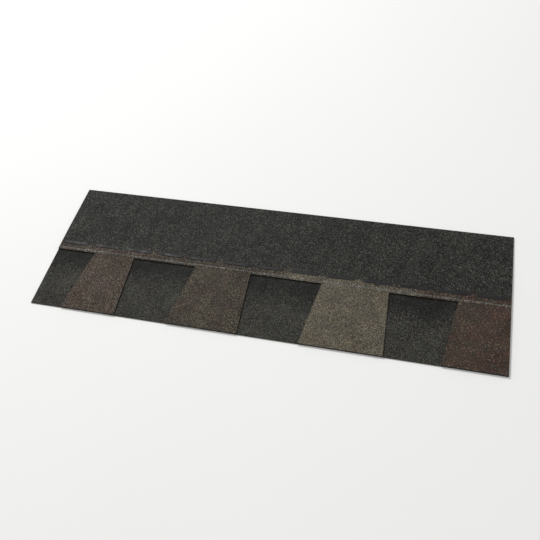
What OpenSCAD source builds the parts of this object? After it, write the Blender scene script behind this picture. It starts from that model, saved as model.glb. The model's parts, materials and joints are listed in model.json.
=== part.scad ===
// Laminated asphalt roofing shingle, lying flat.
// X runs along the course, +Y up the slope from the butt edge to the head edge, +Z out of the weather face.
// The origin is on the ground, under the centre of the shingle.

/* [Shingle] */
// Length along the course
shingle_l = 1000; // [900:1:1040]
// Height from the butt edge to the head edge
shingle_h = 337; // [325:1:350]

/* [Face sheet] */
// Thickness of the granule-surfaced face sheet
face_t = 2.5; // [2:0.1:3.5]
// Height of the teeth, from the butt edge to the root of the cut-outs
tooth_h = 150; // [140:1:160]
// Lean of a tooth's left edge from the slope line, in degrees
left_lean = 8; // [0:0.5:12]
// Lean of a tooth's right edge from the slope line, in degrees
right_lean = 3; // [0:0.5:12]

/* [Backing strip] */
// Height of the common bond, where the backing strip reaches past the roots of the cut-outs
bond_h = 28; // [26:1:34]
// Thickness of the backing strip
backing_t = 2.4; // [2:0.1:3.5]

/* [Laminating adhesive] */
// Width of one adhesive line
glue_w = 10; // [6:1:12]
// Thickness of the adhesive between the sheets
glue_t = 0.3; // [0.2:0.1:0.6]

/* [Seal strip] */
// Width of a seal dash
seal_w = 10; // [6:0.5:12]
// Height of a seal dash
seal_t = 0.9; // [0.5:0.1:1.2]
// Gap between two seal dashes
seal_gap = 14; // [8:1:20]
// Number of seal dashes
seal_count = 13; // [8:1:16]

/* [Release film] */
// Width of the release film on the back
film_w = 24; // [16:1:24]
// Thickness of the release film
film_t = 0.05; // [0.05:0.01:0.1]

/* [Hidden] */

left_x = -shingle_l / 2;
butt_y = -shingle_h / 2;
head_y = shingle_h / 2;
root_y = butt_y + tooth_h;
backing_h = tooth_h + bond_h;
backing_top_y = butt_y + backing_h;

// Undersides of the face sheet and of the seal dashes, where both lie flat over the backing strip
face_z = backing_t + glue_t;
seal_z = face_z + face_t;

// Cut-outs and teeth in turn, as widths along the butt edge of a shingle 1000 mm long.
// The last tooth is cut off square by the end of the shingle.
cutout_share = [72, 117, 127, 110];
tooth_share = [125, 155, 170, 124];
share = shingle_l / 1000;
cutouts = len(cutout_share);

function sum_to(list, n) = n <= 0 ? 0 : list[n - 1] + sum_to(list, n - 1);

// Butt-edge ends of cut-out i
function cutout_start(i) = left_x + share * (sum_to(cutout_share, i) + sum_to(tooth_share, i));
function cutout_end(i) = cutout_start(i) + share * cutout_share[i];

// The head lap bends down from the backing strip to the ground under its own weight, as a cantilever does:
// the drop at a fraction s of its length, as a share of the drop at the head edge.
head_lap = head_y - backing_top_y;
bend_steps = 16;
function sag(s) = s * s * (s * s - 4 * s + 6) / 3;

// Points [y, z] of the face sheet's underside along the head lap
head_lap_line = [for (i = [0:bend_steps]) let (s = i / bend_steps)
    [backing_top_y + head_lap * s, face_z * (1 - sag(s))]];

// Middles of the adhesive lines, as heights above the butt edge: four under the teeth, and two along the bond
glue_lines = concat(
    [for (s = [0.08, 0.36, 0.64, 0.92]) tooth_h * s],
    [for (s = [0.25, 0.75]) tooth_h + bond_h * s]
);

// The seal strip and the release film both keep this far from the upper edge of the backing strip
edge_gap = 1;
seal_y = backing_h - edge_gap - seal_w / 2;

// In a bundle every second shingle is turned end for end, and the film covers the seal strip below it
film_y = min(shingle_h - seal_y, backing_h - edge_gap - film_w / 2);

// Room beyond a surface for a clean cut
cut = 1;

// An outline in Y and Z, swept along X for a length
module along_course(length) {
    rotate([90, 0, 90])
        linear_extrude(height = length) children();
}

// One cut-out, from below the butt edge up to its root. At the left end of the shingle it is open to the side.
module cutout(i) {
    out_y = butt_y - cut;
    opens_left = i == 0;
    start = cutout_start(i) - (opens_left ? cut : 0);
    start_lean = opens_left ? 0 : tan(right_lean);
    end_lean = tan(left_lean);
    linear_extrude(height = seal_z + cut)
        polygon([
            [start + start_lean * cut, out_y],
            [cutout_end(i) - end_lean * cut, out_y],
            [cutout_end(i) + end_lean * tooth_h, root_y],
            [start - start_lean * tooth_h, root_y]
        ]);
}

module all_cutouts() {
    for (i = [0:cutouts - 1]) cutout(i);
}

// Weather face: one sheet with the teeth at its butt edge
module face_sheet() {
    outline = concat(
        [[butt_y, face_z]],
        head_lap_line,
        [for (i = [bend_steps:-1:0]) head_lap_line[i] + [0, face_t]],
        [[butt_y, seal_z]]
    );
    color([0.33, 0.31, 0.28])
        difference() {
            translate([left_x, 0, 0]) along_course(shingle_l) polygon(outline);
            all_cutouts();
        }
}

// Strip under the teeth, which shows between them. The release film lies in a shallow step in its back.
module backing_strip() {
    color([0.22, 0.22, 0.21])
        difference() {
            translate([left_x, butt_y, 0]) cube([shingle_l, backing_h, backing_t]);
            translate([left_x - cut, butt_y + film_y - film_w / 2, -cut])
                cube([shingle_l + 2 * cut, film_w, film_t + cut]);
        }
}

// Lines of adhesive that hold the two sheets together, only where both are there
module laminating_adhesive() {
    color([0.08, 0.08, 0.08])
        difference() {
            for (y = glue_lines)
                translate([left_x, butt_y + y - glue_w / 2, backing_t])
                    cube([shingle_l, glue_w, glue_t]);
            all_cutouts();
        }
}

// Row of heat-activated dashes that bond the next course, each a low crowned bead with short upright sides
module seal_strip() {
    pitch = shingle_l / seal_count;
    side_h = 0.3 * seal_t;
    facets = 8;
    crown = [for (i = [0:facets]) let (s = 1 - 2 * i / facets)
        [s * seal_w / 2, side_h + (seal_t - side_h) * (1 - s * s)]];
    color([0.06, 0.06, 0.06])
        for (i = [0:seal_count - 1])
            translate([left_x + seal_gap / 2 + i * pitch, butt_y + seal_y, seal_z])
                along_course(pitch - seal_gap)
                    polygon(concat([[-seal_w / 2, 0], [seal_w / 2, 0]], crown));
}

// Thin film set flush in the back, which keeps bundled shingles from sticking together
module release_film() {
    color([0.72, 0.74, 0.76])
        translate([left_x, butt_y + film_y - film_w / 2, 0])
            cube([shingle_l, film_w, film_t]);
}

face_sheet();
backing_strip();
laminating_adhesive();
seal_strip();
release_film();
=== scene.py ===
"""The looks of a laminated asphalt shingle that lies flat on a pale floor.

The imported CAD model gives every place. Each sheet is built as the real one is: a core of black asphalt
with ragged cut edges, and granules bedded in its face as real relief. X runs along the course, +Y from the
butt edge to the head edge, and +Z out of the weather face. Lengths are in metres.
"""
import json
import math

import bpy
import numpy as np
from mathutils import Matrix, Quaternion, Vector
from mathutils.geometry import delaunay_2d_cdt


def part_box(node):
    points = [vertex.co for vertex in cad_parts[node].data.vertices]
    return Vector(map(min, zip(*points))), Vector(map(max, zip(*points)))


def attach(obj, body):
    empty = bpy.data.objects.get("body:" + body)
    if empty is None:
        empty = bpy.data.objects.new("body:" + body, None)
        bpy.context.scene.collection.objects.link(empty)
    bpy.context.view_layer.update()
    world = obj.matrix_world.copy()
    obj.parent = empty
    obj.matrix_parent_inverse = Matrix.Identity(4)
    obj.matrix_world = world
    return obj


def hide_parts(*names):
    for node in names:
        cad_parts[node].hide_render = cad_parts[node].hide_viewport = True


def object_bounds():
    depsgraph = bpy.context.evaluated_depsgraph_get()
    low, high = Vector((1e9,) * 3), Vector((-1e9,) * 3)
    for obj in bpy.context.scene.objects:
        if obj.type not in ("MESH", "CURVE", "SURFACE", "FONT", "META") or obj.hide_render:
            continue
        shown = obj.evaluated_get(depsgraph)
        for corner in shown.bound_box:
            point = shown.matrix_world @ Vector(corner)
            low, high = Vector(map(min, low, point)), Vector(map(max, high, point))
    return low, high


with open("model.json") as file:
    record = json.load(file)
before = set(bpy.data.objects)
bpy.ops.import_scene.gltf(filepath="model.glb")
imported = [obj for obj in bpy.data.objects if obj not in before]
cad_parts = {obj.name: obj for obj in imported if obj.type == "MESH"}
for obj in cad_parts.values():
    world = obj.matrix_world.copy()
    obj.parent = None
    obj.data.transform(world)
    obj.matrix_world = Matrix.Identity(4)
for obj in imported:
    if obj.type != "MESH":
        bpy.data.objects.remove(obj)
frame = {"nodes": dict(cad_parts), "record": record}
cad_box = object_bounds()

MM = 0.001
SAME_PLACE = 0.01 * MM  # CAD corners closer than this are one

# ---- Places, read from the frame -----------------------------------------------------------------


def corners(node):
    """The different corners of a CAD node's mesh."""
    points = np.array([v.co for v in frame["nodes"][node].data.vertices])
    return np.unique(np.round(points / SAME_PLACE) * SAME_PLACE, axis=0)


def at(values, place):
    """Which of the values are at a place."""
    return np.abs(values - place) < SAME_PLACE


face_low, face_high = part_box("face_sheet")
backing_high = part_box("backing_strip")[1]
film_low, film_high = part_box("release_film")
seal_low, seal_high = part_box("seal_strip")

left_x, right_x = face_low.x, face_high.x
butt_y, head_y = face_low.y, face_high.y
face_z, backing_z = face_high.z, backing_high.z

face_corners = corners("face_sheet")
flat_corners = face_corners[at(face_corners[:, 2], face_z)]
root_y = np.unique(flat_corners[:, 1])[1]
butt_xs, root_xs = (np.unique(flat_corners[at(flat_corners[:, 1], y), 0]) for y in (butt_y, root_y))

# Each tooth's left and right edge, first at the butt and then at the root. The last tooth ends with the
# shingle.
teeth = list(zip(zip(butt_xs[0::2], butt_xs[1::2]), zip(root_xs[1::2], [*root_xs[2::2], right_x])))

# Each cut-out's, between one tooth and the next. The first cut-out starts with the shingle.
tooth_ends = [((left_x, left_x), (left_x, left_x)), *teeth]
cut_outs = [
    ((last[0][1], tooth[0][0]), (last[1][1], tooth[1][0])) for last, tooth in zip(tooth_ends, teeth)
]

# The face sheet's underside is flat over the backing strip, and then bends down to the floor.
end_corners = face_corners[at(face_corners[:, 0], left_x)]
bend_ys = np.unique(end_corners[:, 1])
bend_zs = np.array([end_corners[at(end_corners[:, 1], y), 2].min() for y in bend_ys])
face_thick = face_z - bend_zs[0]
nail_y = next(m["pos_m"][1] for m in frame["record"]["mounts"] if m["name"] == "nail_1")


def face_level(y):
    """Height of the face sheet's nominal face."""
    return np.interp(y, bend_ys, bend_zs) + face_thick


def backing_level(y):
    """Height of the backing strip's nominal face, which is flat."""
    return np.full(np.shape(y), backing_z)


# ---- Meshes --------------------------------------------------------------------------------------


def mesh_object(name, points, triangles, materials, slots=None):
    """A flat-shaded mesh object of triangles only, made from arrays, that rides with the shingle."""
    mesh = bpy.data.meshes.new(name)
    mesh.vertices.add(len(points))
    mesh.vertices.foreach_set("co", np.asarray(points, np.float32).ravel())
    mesh.loops.add(3 * len(triangles))
    mesh.loops.foreach_set("vertex_index", np.asarray(triangles, np.int32).ravel())
    mesh.polygons.add(len(triangles))
    mesh.polygons.foreach_set("loop_start", np.arange(0, 3 * len(triangles), 3, dtype=np.int32))
    for material in materials:
        mesh.materials.append(material)
    if slots is not None:
        mesh.polygons.foreach_set("material_index", np.asarray(slots, np.int32))
    mesh.update(calc_edges=True)
    mesh.validate()
    piece = bpy.data.objects.new(name, mesh)
    bpy.context.scene.collection.objects.link(piece)
    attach(piece, "root")
    return piece


def add_attribute(piece, name, domain, values):
    """Stores a number on each of a piece's points or faces, for its material to read."""
    piece.data.attributes.new(name, "FLOAT", domain).data.foreach_set("value", values.astype(np.float32))


def joined(parts):
    """One list of points and one of triangles, from several (points, triangles) pairs."""
    starts = np.cumsum([0] + [len(points) for points, _ in parts])
    return (
        np.concatenate([points for points, _ in parts]),
        np.concatenate([triangles + start for (_, triangles), start in zip(parts, starts)]),
    )


# ---- Granules ------------------------------------------------------------------------------------

WEATHER_GRANULE = 1.5 * MM  # from one granule's peak to the next, where the shingle is exposed
HEAD_LAP_GRANULE = 1.8 * MM  # and where the next course covers it
PEAK = (-0.1 * MM, 0.42 * MM)  # lowest and highest peak over the nominal face
VALLEY = (-0.6 * MM, -0.16 * MM)  # the same for the points between granules
BORDER = (-0.2 * MM, 0.0)  # and for the points at a cut edge
ASPHALT_DEPTH = 0.34 * MM  # from the nominal face down to the asphalt that the granules are bedded in
BACK_DEPTH = 1.2 * MM  # from the nominal face down to a granule layer's back, hidden in the core
BACK_INSET = 1.5 * MM  # how far that back lies in from the cut edges
JITTER = 0.38  # how far a point moves off the lattice, as a share of the lattice's spacing
NEAR_BORDER = 0.4  # share of that jitter which the points next to a border keep
STEP_BACK = 0.2  # how far a border point steps back from the cut line, as a share of the spacing
RAGGED = 0.3 * MM  # how far a core's cut edge steps back from its line
TUCK = 1.5 * MM  # how far the granules of a cut-out reach in under the teeth
PATCH_WAVES = (31 * MM, 52 * MM, 87 * MM, 145 * MM)  # lengths of the waves that make the soft patches
PATCH_AMOUNT = 0.15  # how far they shift a granule's place in its blend, as a share of the blend


def patches(x, y, rng):
    """Soft patches, from about -PATCH_AMOUNT to PATCH_AMOUNT, that make one colour a little more common."""
    waves = np.zeros_like(x)
    for length in PATCH_WAVES:
        turn, start = rng.uniform(0, 2 * math.pi, 2)
        waves += np.sin((x * math.cos(turn) + y * math.sin(turn)) * 2 * math.pi / length + start)
    return PATCH_AMOUNT * waves / 2


def nowhere(x):
    """A join: no other field goes on past any place along X."""
    return np.zeros(len(x), bool)


def everywhere(x):
    """A join: another field goes on past all of them."""
    return np.ones(len(x), bool)


UNJOINED = (nowhere, nowhere)


class Field:
    """A four-sided stretch of granules, on a jittered triangular lattice.

    One lattice point in three is a granule's peak, and the six triangles round it are that granule's
    sides. low_xs and high_xs are the stretch's ends along X at its low_y and its high_y. Each row has its
    own two border points, and the odd rows lie half a step over. joins says where along X another field
    goes on past the first row, and where past the last, so that no border shows there.
    """

    def __init__(self, low_xs, high_xs, low_y, high_y, level, granule, blend_at, seed, joins=UNJOINED):
        self.rng, self.level = np.random.default_rng(seed), level
        spacing = granule / math.sqrt(3)
        mean_width = (low_xs[1] - low_xs[0] + high_xs[1] - high_xs[0]) / 2
        self.across = round(mean_width / spacing)
        self.rows = round((high_y - low_y) / (spacing * math.sqrt(3) / 2))
        counts = self.across + 1 + np.arange(self.rows + 1) % 2
        self.starts = np.concatenate([[0], np.cumsum(counts)])
        inner = [everywhere] * (self.rows - 1)
        rows = [
            self.row(r, low_xs, high_xs, low_y, high_y, goes_on)
            for r, goes_on in enumerate([joins[0], *inner, joins[1]])
        ]
        columns = (np.concatenate(column) for column in zip(*rows))
        self.x, self.y, self.peak, self.border, self.freedom = columns
        self.shake(spacing)
        low = np.where(self.border, BORDER[0], np.where(self.peak, PEAK[0], VALLEY[0]))
        high = np.where(self.border, BORDER[1], np.where(self.peak, PEAK[1], VALLEY[1]))
        height = self.rng.uniform(low, high)
        self.z = level(self.y) + height
        # rise is 0 in the deepest valley and 1 on the highest peak; the granule materials use it to paint
        # shade into the valleys and a highlight on the peaks
        self.rise = (height - VALLEY[0]) / (PEAK[1] - VALLEY[0])
        self.luck = np.clip(self.rng.random(len(self.x)) + patches(self.x, self.y, self.rng), 0, 1)
        self.blend = blend_at(self.x, self.y, self.rng)

    def row(self, r, low_xs, high_xs, low_y, high_y, goes_on):
        """One row's points: places, which are peaks, which are on the border, and how freely each moves."""
        odd, up = r % 2, r / self.rows
        share = np.arange(self.across + 1 + odd) - 0.5 * odd
        share = np.clip(share, 0, self.across) / self.across
        left, right = (low + (high - low) * up for low, high in zip(low_xs, high_xs))
        x = left + (right - left) * share
        index = np.arange(len(x))
        border = (index == 0) | (index == len(x) - 1) | ~goes_on(x)
        peak = ((index - odd - r // 2 - r) % 3 == 0) & ~border
        by_border = (index == 1) | (index == len(x) - 2) | (r == 0) | (r == self.rows)
        freedom = np.where(border, 0, np.where(by_border, NEAR_BORDER, 1)) * JITTER
        return x, np.full(len(x), low_y + (high_y - low_y) * up), peak, border, freedom

    def shake(self, spacing):
        """Moves the inner points off the lattice, and steps the border points back from the cut line."""
        move = self.rng.uniform(-1, 1, (2, len(self.x))) * self.freedom * spacing
        self.x += move[0]
        self.y += move[1]
        back = self.rng.uniform(0, STEP_BACK, len(self.x)) * spacing * self.border
        first, last = self.starts[:-1], self.starts[1:] - 1
        self.x[first] += back[first]
        self.x[last] -= back[last]
        bottom, top = slice(0, self.starts[1]), slice(self.starts[-2], self.starts[-1])
        self.y[bottom] += back[bottom]
        self.y[top] -= back[top]

    def triangles(self, low_row, high_row):
        """Triangles between two rows, facing up, as numbers of the points from low_row on."""
        found = []
        narrow, wide = np.arange(self.across), np.arange(self.across + 1)
        for r in range(low_row, high_row):
            a, b = self.starts[[r, r + 1]] - self.starts[low_row]
            if r % 2:
                found.append(np.stack([a + wide, a + wide + 1, b + wide], 1))
                found.append(np.stack([a + narrow + 1, b + narrow + 1, b + narrow], 1))
            else:
                found.append(np.stack([a + wide, b + wide + 1, b + wide], 1))
                found.append(np.stack([a + narrow, a + narrow + 1, b + narrow + 1], 1))
        return np.concatenate(found)

    def loop(self, low_row, high_row):
        """Numbers of the points round two rows and what is between them, counter-clockwise."""
        starts = self.starts[low_row : high_row + 2] - self.starts[low_row]
        return np.concatenate([
            np.arange(0, starts[1]),
            starts[2:-1] - 1,
            np.arange(starts[-2], starts[-1])[::-1],
            starts[1:-2][::-1],
        ])


MAP_MARGIN = 0.015  # gap round each place in a texture map, as a share of its size
TOP_BAND = (0.0, 0.95)  # share of a map's height for the tops of the blocks
BACK_BAND = (0.96, 0.99)  # and for their hidden backs


class Block:
    """A closed slab of granules: a field's rows from low_row to high_row, a skirt round them and a back."""

    def __init__(self, field, low_row, high_row):
        picked = slice(field.starts[low_row], field.starts[high_row + 1])
        top = np.stack([field.x[picked], field.y[picked], field.z[picked]], 1)
        faces, loop = field.triangles(low_row, high_row), field.loop(low_row, high_row)
        count, size = len(top), len(loop)

        ring = top[loop, :2]
        low, high = ring.min(0), ring.max(0)
        middle = (low + high) / 2
        out = (ring - middle) * 2 * BACK_INSET / (high - low)
        inset = ring - out * field.border[picked][loop][:, None]
        back = np.concatenate([inset, middle[None]])
        back = np.concatenate([back, field.level(back[:, 1:]) - BACK_DEPTH], 1)

        step, after = np.arange(size), np.roll(np.arange(size), -1)
        skirt = np.concatenate([
            np.stack([loop, count + step, loop[after]], 1),
            np.stack([loop[after], count + step, count + after], 1),
        ])
        fan = np.stack([count + step, np.full(size, count + size), count + after], 1)
        self.points = np.concatenate([top, back])
        self.triangles = np.concatenate([faces, skirt, fan])

        # A side belongs to the granule whose peak it touches, a skirt's face to the point over it, and the
        # hidden back to one point.
        has_peak = field.peak[picked][faces]
        owner = faces[np.arange(len(faces)), has_peak.argmax(1)]
        owner = np.concatenate([owner, loop, loop[after], np.full(size, loop[0])])
        self.luck, self.blend = field.luck[picked][owner], field.blend[picked][owner]
        self.rise = np.concatenate([field.rise[picked], np.zeros(size + 1)])

        self.low, self.high, self.shown = low, high, len(faces) + len(skirt)
        unrolled = np.concatenate([top[:, :2], ring + out])
        self.flat_corners = unrolled[self.triangles[: self.shown]]
        self.back_corners = back[fan - count][:, :, :2]

    def map(self, low_v, high_v, folds, column):
        """The triangles' corners in a texture map: the top folded into rows, the back in its own column."""
        width, height = self.high - self.low
        fold_width, row = width / folds, (high_v - low_v) / folds
        fold = (self.flat_corners[:, :, :1].mean(1, keepdims=True) - self.low[0]) // fold_width
        fold = np.clip(fold, 0, folds - 1)
        u = (self.flat_corners[:, :, :1] - self.low[0]) / fold_width - fold
        v = (self.flat_corners[:, :, 1:] - self.low[1]) / height
        u = MAP_MARGIN + (1 - 2 * MAP_MARGIN) * u
        v = low_v + row * (fold + MAP_MARGIN * 2 + (1 - 4 * MAP_MARGIN) * v)
        across = (self.back_corners - self.low) / (self.high - self.low)
        back_u = column[0] + (column[1] - column[0]) * across[:, :, :1]
        back_v = BACK_BAND[0] + (BACK_BAND[1] - BACK_BAND[0]) * across[:, :, 1:]
        return np.concatenate([np.concatenate([u, v], 2), np.concatenate([back_u, back_v], 2)])


def granule_piece(name, blocks, folds, materials, node, slot):
    """A piece of several blocks, each with its own place in the piece's texture map."""
    points, triangles = joined([(block.points, block.triangles) for block in blocks])
    blends = np.concatenate([block.blend for block in blocks])
    piece = mesh_object(name, points, triangles, materials, blends)
    add_attribute(piece, "luck", "FACE", np.concatenate([block.luck for block in blocks]))
    add_attribute(piece, "rise", "POINT", np.concatenate([block.rise for block in blocks]))
    bands = np.linspace(*TOP_BAND, len(blocks) + 1)
    columns = np.linspace(MAP_MARGIN, 1, len(blocks) + 1)
    maps = [
        block.map(bands[i], bands[i + 1], folds, (columns[i], columns[i + 1] - MAP_MARGIN))
        for i, block in enumerate(blocks)
    ]
    layer = piece.data.uv_layers.new(name="OFBake", do_init=False)
    layer.uv.foreach_set("vector", np.concatenate(maps).astype(np.float32).ravel())
    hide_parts(node)


def strips(name, fields, finish, count, folds=1):
    """The fields' granules in several pieces up the slope, which keeps each one's mesh and map fine enough.

    finish is the materials, the CAD node that the pieces stand for, and the record's material slot, which
    is not used. folds is the number of rows that each block's top takes in the map.
    """
    for i in range(count):
        shares = (i / count, (i + 1) / count)
        blocks = [Block(field, *(int(field.rows * share) for share in shares)) for field in fields]
        granule_piece(f"{name}_{i + 1}", blocks, folds, *finish)


# ---- Cores ---------------------------------------------------------------------------------------

EDGE_STEP = 2.5 * MM  # between the points of a ragged edge
WALL_LEVELS = 4  # rows of points from the bottom of a cut edge to its top
FILM_STEP = 0.1 * MM  # width of the sloping side of the step that the release film lies in


def edge_points(outline):
    """An outline's points, with more between them along its straight stretches."""
    found = []
    for start, end in zip(outline, [*outline[1:], outline[0]]):
        start, end = np.array(start), np.array(end)
        steps = max(round(np.linalg.norm(end - start) / EDGE_STEP), 1)
        found += [start + (end - start) * k / steps for k in range(steps)]
    return found


def filled(edge, bends):
    """Flat points and triangles that fill an outline, with lines of sides along the bends."""
    low, high = np.min(edge, 0), np.max(edge, 0)
    bends = [y for y in bends if low[1] + EDGE_STEP < y < high[1] - EDGE_STEP]
    ends = [(x, y) for y in bends for x in (low[0] - EDGE_STEP, high[0] + EDGE_STEP)]
    size = len(edge)
    lines = [(size + 2 * i, size + 2 * i + 1) for i in range(len(bends))]
    places = [Vector(place) for place in [*edge, *ends]]
    flat, _, faces, _, _, insides = delaunay_2d_cdt(places, lines, [range(size)], 0, SAME_PLACE, True)
    flat = np.array([place[:] for place in flat])
    return flat, np.array([face for face, inside in zip(faces, insides) if inside])


def rim_of(faces):
    """The sides that only one triangle has, each from its first point to its second."""
    sides = np.concatenate([faces[:, [0, 1]], faces[:, [1, 2]], faces[:, [2, 0]]]).tolist()
    known = {(a, b) for a, b in sides}
    return np.array([(a, b) for a, b in sides if (b, a) not in known])


def outward(flat, rim):
    """Unit vectors that point out of the outline at the points on its rim, and zero at the others."""
    out = np.zeros_like(flat)
    run = flat[rim[:, 1]] - flat[rim[:, 0]]
    for end in (0, 1):
        np.add.at(out, rim[:, end], run[:, ::-1] * (1, -1))
    length = np.linalg.norm(out, axis=1, keepdims=True)
    return np.divide(out, length, out=np.zeros_like(out), where=length > 0)


def core(outline, low_level, high_level, bends, seed):
    """A closed slab of asphalt with ragged sides: its points, its triangles, and each point's share of the
    way up the slab. low_level and high_level give the heights of its bottom and its top at each Y, and
    bends are the places along Y where these change their slope.
    """
    rng = np.random.default_rng(seed)
    flat, faces = filled(edge_points(outline), bends)
    rim = rim_of(faces)
    out = outward(flat, rim)
    bottom, top = low_level(flat[:, 1]), high_level(flat[:, 1])
    levels, ups = [], np.linspace(0, 1, WALL_LEVELS)
    for up in ups:
        places = flat - out * rng.uniform(0, RAGGED, (len(flat), 1))
        levels.append(np.column_stack([places, bottom + (top - bottom) * up]))
    count = len(flat)
    walls = [faces[:, ::-1], faces + count * (WALL_LEVELS - 1)]
    for k in range(WALL_LEVELS - 1):
        a, b = rim[:, 0] + count * k, rim[:, 1] + count * k
        walls += [np.stack([a, b, b + count], 1), np.stack([a, b + count, a + count], 1)]
    points, triangles = np.concatenate(levels), np.concatenate(walls)
    used = np.unique(triangles)
    return points[used], np.searchsorted(used, triangles), np.repeat(ups, count)[used]


def core_piece(name, parts, node):
    """A piece of one or more cores, which stands for a CAD node."""
    points, triangles = joined([part[:2] for part in parts])
    piece = mesh_object(name, points, triangles, [sheet_asphalt(name)])
    add_attribute(piece, "up", "POINT", np.concatenate([part[2] for part in parts]))
    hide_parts(node)


def face_core():
    """The face sheet's asphalt and glass mat, up to where the granules are bedded."""
    outline = [(left_x, root_y)]
    for (butt_left, butt_right), (root_left, root_right) in teeth:
        outline += [(root_left, root_y), (butt_left, butt_y), (butt_right, butt_y), (root_right, root_y)]
    outline = outline[:-1] + [(right_x, head_y), (left_x, head_y)]
    shape = core(
        outline,
        lambda y: face_level(y) - face_thick,
        lambda y: face_level(y) - ASPHALT_DEPTH,
        bend_ys,
        seed=11,
    )
    core_piece("face_core", [shape], "face_sheet")


def backing_core():
    """The backing strip's asphalt and mat: a slab, and on it pads under the teeth and the common bond."""
    top_y, bedding = backing_high.y, backing_z - ASPHALT_DEPTH
    pad_foot = bedding - RAGGED
    ys = [butt_y, film_low.y - FILM_STEP, film_low.y, film_high.y, film_high.y + FILM_STEP, top_y]
    zs = [0, 0, film_high.z, film_high.z, 0, 0]
    slab = [(left_x, butt_y), (right_x, butt_y), (right_x, top_y), (left_x, top_y)]
    parts = [core(slab, lambda y: np.interp(y, ys, zs), lambda y: np.full(y.shape, bedding), ys, seed=12)]
    pads = []
    for butt, root in teeth:
        (butt_left, root_left), (butt_right, root_right) = zip(butt, root)
        pads.append([
            (butt_left + TUCK, butt_y),
            (butt_right - TUCK, butt_y),
            (root_right - TUCK, root_y),
            (root_left + TUCK, root_y),
        ])
    pads.append([(left_x, root_y + TUCK), (right_x, root_y + TUCK), (right_x, top_y), (left_x, top_y)])
    for i, pad in enumerate(pads):
        parts.append(core(pad, lambda y: np.full(y.shape, pad_foot), backing_level, [], seed=13 + i))
    core_piece("backing_core", parts, "backing_strip")


# ---- Seal strip ----------------------------------------------------------------------------------

DASH_POINTS = 72  # points round a dash
DASH_RINGS = 7  # rings of them, from its rim in to its crown
SQUARENESS = (0.28, 0.6)  # exponents along X and Y that turn a circle into a dash with round ends
WANDER = (0.05 * MM, 0.65 * MM)  # how far a dash's edge lies in from the CAD dash's
WAVES = range(2, 12)  # how many times each wave in the edge goes round the dash
CROWN = (3, 0.6)  # exponents that make the rim steep and the crown nearly flat
LUMPS = 0.94  # lowest place on a ring, as a share of the ring's height


def dash_outline(half, rng):
    """A dash's uneven edge round its own middle. half is half its length and half its width."""
    turn = np.linspace(0, 2 * math.pi, DASH_POINTS, endpoint=False)
    outline = np.stack([np.cos(turn), np.sin(turn)], 1)
    outline = np.sign(outline) * np.abs(outline) ** SQUARENESS * half
    waves = sum(
        rng.uniform(0.1, 0.4) / k * np.sin(k * turn + rng.uniform(0, 2 * math.pi)) for k in WAVES
    )
    inward = np.interp(waves / np.abs(waves).max(), (-1, 1), WANDER)
    return outline * (1 - inward[:, None] / np.linalg.norm(outline, axis=1, keepdims=True).clip(half.y))


def seal_dash(start, end, rng):
    """One bead of sealant with round ends and an uneven edge: rings from its rim up to its crown."""
    half = Vector(((end - start) / 2, (seal_high.y - seal_low.y) / 2))
    middle = np.array([(start + end) / 2, (seal_low.y + seal_high.y) / 2])
    outline = dash_outline(half, rng)
    foot_z, rim_z = face_z - BACK_DEPTH, face_z - ASPHALT_DEPTH
    levels = [np.column_stack([middle + outline, np.full(DASH_POINTS, foot_z)])]
    for k in range(DASH_RINGS):
        out = 1 - k / DASH_RINGS
        lift = (1 - out ** CROWN[0]) ** CROWN[1]
        z = rim_z + (seal_high.z - rim_z) * lift * rng.uniform(LUMPS, 1, DASH_POINTS)
        pull = half.y * (1 - out)
        shrink = np.maximum(1 - pull / np.linalg.norm(outline, axis=1), 0)[:, None]
        places = outline * np.where(np.abs(outline) > half.y, shrink, out)
        levels.append(np.column_stack([middle + places, z]))
    centres = [[*middle, levels[-1][:, 2].mean()], [*middle, foot_z]]

    step = np.arange(DASH_POINTS)
    after = np.roll(step, -1)
    triangles = []
    for k in range(DASH_RINGS):
        a, b = DASH_POINTS * k, DASH_POINTS * (k + 1)
        triangles.append(np.stack([a + step, a + after, b + after], 1))
        triangles.append(np.stack([a + step, b + after, b + step], 1))
    last, top = DASH_POINTS * DASH_RINGS, DASH_POINTS * (DASH_RINGS + 1)
    triangles.append(np.stack([last + step, last + after, np.full(DASH_POINTS, top)], 1))
    triangles.append(np.stack([after, step, np.full(DASH_POINTS, top + 1)], 1))
    return np.concatenate([*levels, centres]), np.concatenate(triangles)


def seal_strip():
    """A bead of sealant in the place of each dash of the CAD node."""
    rng = np.random.default_rng(31)
    ends = np.unique(corners("seal_strip")[:, 0])
    shape = joined([seal_dash(start, end, rng) for start, end in zip(ends[0::2], ends[1::2])])
    piece = mesh_object("seal_dashes", *shape, [sealant()])
    piece.data.shade_smooth()
    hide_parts("seal_strip")


# ---- Materials -----------------------------------------------------------------------------------


def colour(red, green, blue):
    """A linear colour from 0 to 255 display values."""
    values = (value / 255 for value in (red, green, blue))
    return (*(v / 12.92 if v <= 0.04045 else ((v + 0.055) / 1.055) ** 2.4 for v in values), 1)


BLACK = colour(28, 28, 26)
CHARCOAL = colour(48, 48, 45)
SLATE = colour(65, 68, 62)
GREY = colour(94, 94, 87)
TAUPE = colour(104, 96, 83)
TAN = colour(130, 121, 101)
BROWN = colour(80, 67, 54)
RED = colour(93, 64, 54)
MAUVE = colour(91, 76, 71)
CREAM = colour(146, 138, 120)
PAINT = colour(132, 132, 128)

MIDDLE = (0.3, 0.7)  # the part of its range where nearly all of a noise lies


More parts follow.
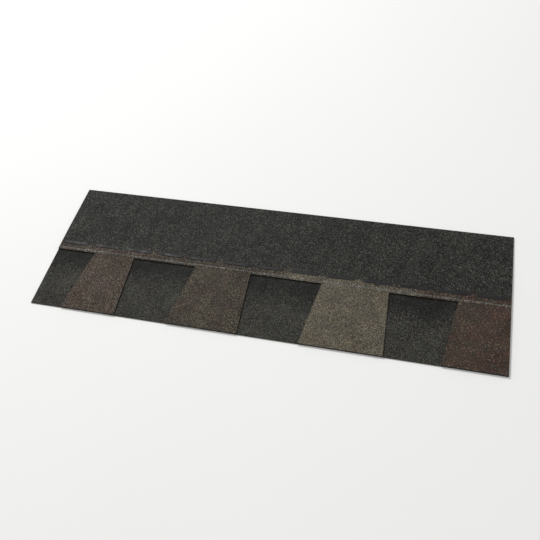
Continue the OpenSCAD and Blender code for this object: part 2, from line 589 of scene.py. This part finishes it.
class Shader:
    """A new material's node tree, with short calls for its nodes."""

    def __init__(self, name, **values):
        self.material = bpy.data.materials.new(name)
        self.material.use_nodes = True
        self.tree = self.material.node_tree
        self.surface = self.tree.nodes["Principled BSDF"]
        for socket, value in values.items():
            self.surface.inputs[socket.replace("_", " ")].default_value = value

    def node(self, kind, inputs=None, **properties):
        """A node with its properties set. inputs gives each socket a number or another node's output."""
        made = self.tree.nodes.new("ShaderNode" + kind)
        for key, value in properties.items():
            setattr(made, key, value)
        for socket, value in (inputs or {}).items():
            if isinstance(value, bpy.types.NodeSocket):
                self.tree.links.new(value, made.inputs[socket])
            else:
                made.inputs[socket].default_value = value
        return made

    def place(self):
        """Where on the shingle the shaded point lies."""
        return self.node("TexCoord").outputs["Object"]

    def noise(self, size, detail=2.0, vector=None):
        """Noise with features of about this size, from 0 to 1."""
        inputs = {"Vector": vector or self.place(), "Scale": 1 / size, "Detail": detail}
        return self.node("TexNoise", inputs).outputs["Fac"]

    def scaled(self, value, low, high, from_low=0.0, from_high=1.0):
        """A number moved from one range to another, and kept inside it."""
        ends = {"From Min": from_low, "From Max": from_high, "To Min": low, "To Max": high}
        return self.node("MapRange", {"Value": value, **ends}).outputs["Result"]

    def steps(self, value, stops, interpolation="CONSTANT"):
        """A colour for each value: stops are (where it starts, colour) pairs."""
        ramp = self.node("ValToRGB", {"Fac": value})
        ramp.color_ramp.interpolation = interpolation
        elements = ramp.color_ramp.elements
        while len(elements) < len(stops):
            elements.new(1)
        for element, (start, shade) in zip(elements, stops):
            element.position = start
            element.color = shade
        return ramp.outputs["Color"]

    def multiply(self, *values):
        """Product of numbers."""
        product = values[0]
        for value in values[1:]:
            product = self.node("Math", {0: product, 1: value}, operation="MULTIPLY").outputs[0]
        return product

    def brighten(self, shade, by):
        """A colour times a number."""
        return self.node("VectorMath", {0: shade, "Scale": by}, operation="SCALE").outputs[0]

    def mix(self, factor, first, second):
        """The first colour where factor is 0, the second where it is 1."""
        node = self.node("Mix", {"Factor": factor}, data_type="RGBA")
        for socket, value in zip([s for s in node.inputs if s.type == "RGBA"], (first, second)):
            if isinstance(value, bpy.types.NodeSocket):
                self.tree.links.new(value, socket)
            else:
                socket.default_value = value
        return next(s for s in node.outputs if s.type == "RGBA")

    def bump(self, height, depth, after=None):
        """A normal for relief of this depth, on top of another bump's normal if one is given."""
        inputs = {"Height": height, "Strength": 1.0, "Distance": depth}
        if after:
            inputs["Normal"] = after
        return self.node("Bump", inputs).outputs["Normal"]

    def link(self, **outputs):
        """Links outputs to the surface's sockets, and gives the finished material."""
        for socket, output in outputs.items():
            self.tree.links.new(output, self.surface.inputs[socket.replace("_", " ")])
        return self.material


def granules(name, *shares):
    """Crushed stone in fired colours, one to a granule. The shares are (share, colour) pairs. Each granule
    is also painted darker down in its valleys and lighter at its peak, as painted shade and highlight.
    """
    shader = Shader(name, Specular_IOR_Level=0.18)
    luck = shader.node("Attribute", attribute_name="luck").outputs["Fac"]
    total, start, stops = sum(share for share, _ in shares), 0.0, []
    for share, shade in shares:
        stops.append((start / total, shade))
        start += share
    rise = shader.node("Attribute", attribute_name="rise").outputs["Fac"]
    own = shader.node("TexWhiteNoise", {"W": luck}, noise_dimensions="1D").outputs["Value"]
    drift = shader.scaled(shader.noise(45 * MM, detail=3), 0.82, 1.18, *MIDDLE)
    grain = shader.noise(0.4 * MM, detail=4)
    brightness = shader.multiply(
        shader.scaled(own, 0.74, 1.26),
        drift,
        shader.scaled(grain, 0.75, 1.25, *MIDDLE),
        # painted shade and highlight: darker down in the valleys between granules, lighter on the peaks
        shader.scaled(rise, 0.55, 1.15, 0.2, 0.9),
    )
    return shader.link(
        Base_Color=shader.brighten(shader.steps(luck, stops), brightness),
        Roughness=shader.scaled(own, 0.62, 0.95),
        Normal=shader.bump(grain, 0.2 * MM),
    )


def sheet_asphalt(name):
    """Black asphalt on a glass mat, with a sanded back. A cut edge shows the mat as a thin dull line."""
    shader = Shader(name, Specular_IOR_Level=0.3)
    up = shader.node("Attribute", attribute_name="up").outputs["Fac"]
    cloud = shader.noise(30 * MM, detail=4)
    lumps = shader.noise(1.2 * MM, detail=4)
    drawn = shader.node("Mapping", {"Vector": shader.place(), "Scale": (0.06, 1, 1)}).outputs["Vector"]
    streaks = shader.noise(5 * MM, detail=3, vector=drawn)
    sand = shader.noise(0.6 * MM, detail=4)

    asphalt = shader.steps(lumps, [(0.3, colour(22, 21, 20)), (0.7, colour(38, 36, 34))], "LINEAR")
    off_middle = shader.node("Math", {0: up, 1: 0.5}, operation="SUBTRACT").outputs[0]
    off_middle = shader.node("Math", {0: off_middle}, operation="ABSOLUTE").outputs[0]
    in_mat = shader.scaled(off_middle, 0.7, 0, 0.05, 0.1)
    shows = shader.scaled(lumps, 0.2, 1, 0.35, 0.6)
    edge = shader.mix(shader.multiply(in_mat, shows), asphalt, colour(84, 80, 72))

    sanded = shader.steps(sand, [(0.36, colour(34, 33, 32)), (0.6, colour(104, 101, 95))], "LINEAR")
    clouded = shader.scaled(cloud, 0.75, 1.25, *MIDDLE)
    streaked = shader.scaled(streaks, 0.65, 1.3, *MIDDLE)
    sanded = shader.brighten(sanded, shader.multiply(clouded, streaked))
    is_back = shader.scaled(up, 1, 0, 0, 0.01)
    return shader.link(
        Base_Color=shader.mix(is_back, edge, sanded),
        Roughness=shader.scaled(sand, 0.6, 0.92),
        Normal=shader.bump(lumps, 0.25 * MM, after=shader.bump(sand, 0.15 * MM)),
    )


def sealant():
    """Soft black asphalt, with a skin that dust dulls in places."""
    shader = Shader("sealant", Specular_IOR_Level=0.28)
    skin = shader.noise(3 * MM, detail=3)
    dust = shader.noise(14 * MM, detail=3)
    return shader.link(
        Base_Color=shader.steps(dust, [(0.4, colour(14, 14, 14)), (0.7, colour(34, 33, 32))], "LINEAR"),
        Roughness=shader.scaled(dust, 0.42, 0.72, *MIDDLE),
        Normal=shader.bump(skin, 0.3 * MM),
    )


def adhesive():
    """Glossy black asphalt, squeezed flat between the sheets."""
    shader = Shader("laminating_adhesive", Specular_IOR_Level=0.5)
    lumps = shader.noise(2 * MM, detail=3)
    return shader.link(
        Base_Color=shader.steps(lumps, [(0.3, colour(24, 23, 22)), (0.7, colour(38, 37, 35))], "LINEAR"),
        Roughness=shader.scaled(lumps, 0.3, 0.6),
        Normal=shader.bump(lumps, 0.2 * MM),
    )


def film():
    """Clear polyester over the sanded back: a smooth grey band with fine wrinkles."""
    shader = Shader("release_film", Specular_IOR_Level=0.6)
    across = shader.node("Mapping", {"Vector": shader.place(), "Scale": (1, 0.35, 1)}).outputs["Vector"]
    wrinkle = shader.noise(7 * MM, detail=4, vector=across)
    haze = shader.noise(22 * MM, detail=3)
    shades = [(0.3, colour(126, 128, 130)), (0.7, colour(164, 166, 167))]
    return shader.link(
        Base_Color=shader.steps(haze, shades, "LINEAR"),
        Roughness=shader.scaled(haze, 0.12, 0.3),
        Normal=shader.bump(wrinkle, 0.3 * MM),
    )


# ---- The shingle ---------------------------------------------------------------------------------

MAUVE_BROWN = [(30, MAUVE), (10, RED), (16, CHARCOAL), (8, TAN), (4, CREAM), (10, GREY), (22, BROWN)]
BROWN_TAUPE = [(10, MAUVE), (28, BROWN), (20, CHARCOAL), (8, TAN), (12, SLATE), (22, TAUPE)]
LIGHT_TAUPE = [(38, TAUPE), (4, BROWN), (26, TAN), (8, CREAM), (6, CHARCOAL), (18, GREY)]
RED_BROWN = [(26, RED), (14, MAUVE), (8, SLATE), (6, TAN), (20, CHARCOAL), (26, BROWN)]
TOOTH_BLENDS = [
    granules("mauve_brown_blend", *MAUVE_BROWN),
    granules("brown_taupe_blend", *BROWN_TAUPE),
    granules("light_taupe_blend", *LIGHT_TAUPE),
    granules("red_brown_blend", *RED_BROWN),
]
HEAD_LAP = [(40, CHARCOAL), (15, GREY), (25, BLACK), (20, SLATE)]
HEAD_LAP_BLEND = granules("head_lap_granules", *HEAD_LAP)
PAINTED = granules("nail_line_paint", (60, PAINT), (40, GREY))
BACKING = [(34, SLATE), (12, BLACK), (14, GREY), (8, TAUPE), (6, BROWN), (26, CHARCOAL)]
BACKING_BLENDS = [
    granules("backing_blend", *BACKING),
    granules("shadow_band_blend", (74, BLACK), (20, CHARCOAL), (6, SLATE)),
]
FACE_BLENDS = [*TOOTH_BLENDS, HEAD_LAP_BLEND, PAINTED]

# The teeth's blends run up past the roots: how far past the nail line, by which (height, length) waves
# that changes along the course, and how far granules of two blends mix, along the course and up the slope
RUN_UP = 14 * MM
RUN_UP_WAVES = ((3 * MM, 60 * MM), (2 * MM, 23 * MM))
MIXED_ALONG, MIXED_UP = 6 * MM, 4 * MM
PAINT_HALF = 1.6 * MM  # half the width of the painted nail line
PAINT_COVER = 0.85  # share of the granules on it that caught paint

# Black granules shade a cut-out's upper part: where that starts over the butt edge, the (height, length)
# wave in that line, and how far up from there all granules are black
SHADE_START = 74 * MM
SHADE_WAVE = (5 * MM, 19 * MM)
SHADE_FADE = 56 * MM

TOOTH_SEED, HEAD_LAP_SEED, CUT_OUT_SEED = 100, 110, 120


def wave(x, height, length):
    """A wave along the course. Its length is given as that of one radian."""
    return height * np.sin(x / length)


def head_lap_blend(x, y, rng):
    """The nearest tooth's blend up to a wavy line, the head lap's dull one over it, and the nail line."""
    middles = np.array([sum(root) / 2 for _, root in teeth])
    nearest = np.abs(x[:, None] + rng.normal(0, MIXED_ALONG, (len(x), 1)) - middles).argmin(1)
    change_y = nail_y + RUN_UP + sum(wave(x, *shape) for shape in RUN_UP_WAVES)
    is_dull = y + rng.normal(0, MIXED_UP, len(x)) > change_y
    blend = np.where(is_dull, FACE_BLENDS.index(HEAD_LAP_BLEND), nearest)
    is_painted = (np.abs(y - nail_y) < PAINT_HALF) & (rng.random(len(x)) < PAINT_COVER)
    return np.where(is_painted, FACE_BLENDS.index(PAINTED), blend)


def cut_out_blend(x, y, rng):
    """Black granules shade the upper part of a cut-out, and thin out down the slope."""
    start_y = butt_y + SHADE_START + wave(x, *SHADE_WAVE)
    black_share = (y - start_y) / SHADE_FADE
    return np.where(rng.random(len(x)) < black_share, 1, 0)


def over_a_tooth(x):
    """Where the face sheet goes on below the roots of the cut-outs."""
    return np.any([(root_left < x) & (x < root_right) for _, (root_left, root_right) in teeth], axis=0)


def tooth_blend(number):
    """Each tooth has one blend all over."""
    return lambda x, y, rng: np.full(len(x), number)


def weather_face():
    """The granules of the teeth, and those of the common bond and the head lap over them."""
    finish = (FACE_BLENDS, "face_sheet", "weather_granules")
    fields = []
    for i, tooth in enumerate(teeth):
        look = (face_level, WEATHER_GRANULE, tooth_blend(i), TOOTH_SEED + i)
        fields.append(Field(*tooth, butt_y, root_y + RAGGED, *look, joins=(nowhere, everywhere)))
    strips("tooth_granules", fields, finish, count=2)
    ends = (left_x, right_x)
    look = (face_level, HEAD_LAP_GRANULE, head_lap_blend, HEAD_LAP_SEED)
    head_lap = Field(ends, ends, root_y, head_y, *look, joins=(over_a_tooth, nowhere))
    strips("head_lap_granules", [head_lap], finish, count=4, folds=5)


def backing_face():
    """The granules of the cut-outs, which reach a little in under the teeth."""
    finish = (BACKING_BLENDS, "backing_strip", "backing_granules")
    fields = []
    for i, cut_out in enumerate(cut_outs):
        left_tuck = 0 if i == 0 else TUCK
        ends = [(left - left_tuck, right + TUCK) for left, right in cut_out]
        look = (backing_level, WEATHER_GRANULE, cut_out_blend, CUT_OUT_SEED + i)
        fields.append(Field(*ends, butt_y, root_y + TUCK, *look))
    strips("cut_out_granules", fields, finish, count=2)


# ---- Stage ---------------------------------------------------------------------------------------

FLOOR_SIZE = 16.0
FLOOR_GAP = 0.2 * MM  # from the floor up to the shingle's back
WORLD_STRENGTH = 0.55
CAMERA_TURN = (21.3, 53.2, -9.8)  # azimuth, elevation and roll in degrees
CAMERA_ANGLE = 43.6  # in degrees
CAMERA_DISTANCE = 1.46


def floor():
    """A pale, nearly even floor."""
    bpy.ops.mesh.primitive_plane_add(size=FLOOR_SIZE, location=(0, 0, cad_box[0].z - FLOOR_GAP))
    plane = bpy.context.object
    plane.name = "floor"
    shader = Shader("floor", Roughness=0.9, Specular_IOR_Level=0.2)
    tone = shader.scaled(shader.noise(0.5, detail=3), 0.97, 1.0)
    plane.data.materials.append(shader.link(Base_Color=shader.brighten(colour(240, 240, 238)[:3], tone)))


def soft_light(name, place, size, power):
    """A round area light that faces the shingle. size is in metres and power in watts."""
    light = bpy.data.lights.new(name, "AREA")
    light.shape, light.size, light.energy = "DISK", size, power
    lamp = bpy.data.objects.new(name, light)
    lamp.location = place
    lamp.rotation_euler = (-Vector(place)).to_track_quat("-Z", "Y").to_euler()
    bpy.context.scene.collection.objects.link(lamp)


def lights():
    """A large soft key from the upper left, behind the head edge, and a weak fill."""
    soft_light("key", place=(-2.6, 2.4, 3.9), size=1.1, power=170)
    soft_light("fill", place=(1.4, -1.8, 2.2), size=1.6, power=6)
    world = bpy.data.worlds.new("studio")
    world.use_nodes = True
    background = world.node_tree.nodes["Background"]
    background.inputs["Color"].default_value = (1, 1, 1, 1)
    background.inputs["Strength"].default_value = WORLD_STRENGTH
    bpy.context.scene.world = world
    bpy.context.scene.view_settings.view_transform = "Standard"


def camera():
    """Looks down on the shingle as on a roof slope, its right end a little nearer and the course tilted."""
    azimuth, elevation, roll = (math.radians(angle) for angle in CAMERA_TURN)
    level = Vector((-math.sin(azimuth), math.cos(azimuth), 0)) * math.cos(elevation)
    forward = level - Vector((0, 0, math.sin(elevation)))
    middle = (cad_box[0] + cad_box[1]) / 2
    data = bpy.data.cameras.new("camera")
    data.angle = math.radians(CAMERA_ANGLE)
    view = bpy.data.objects.new("camera", data)
    view.rotation_mode = "QUATERNION"
    view.rotation_quaternion = forward.to_track_quat("-Z", "Y") @ Quaternion((0, 0, 1), roll)
    view.location = middle - forward * CAMERA_DISTANCE
    bpy.context.scene.collection.objects.link(view)
    bpy.context.scene.camera = view


camera()
floor()
lights()
weather_face()
backing_face()
face_core()
backing_core()
seal_strip()
for node, material in (("laminating_adhesive", adhesive()), ("release_film", film())):
    frame["nodes"][node].data.materials.clear()
    frame["nodes"][node].data.materials.append(material)
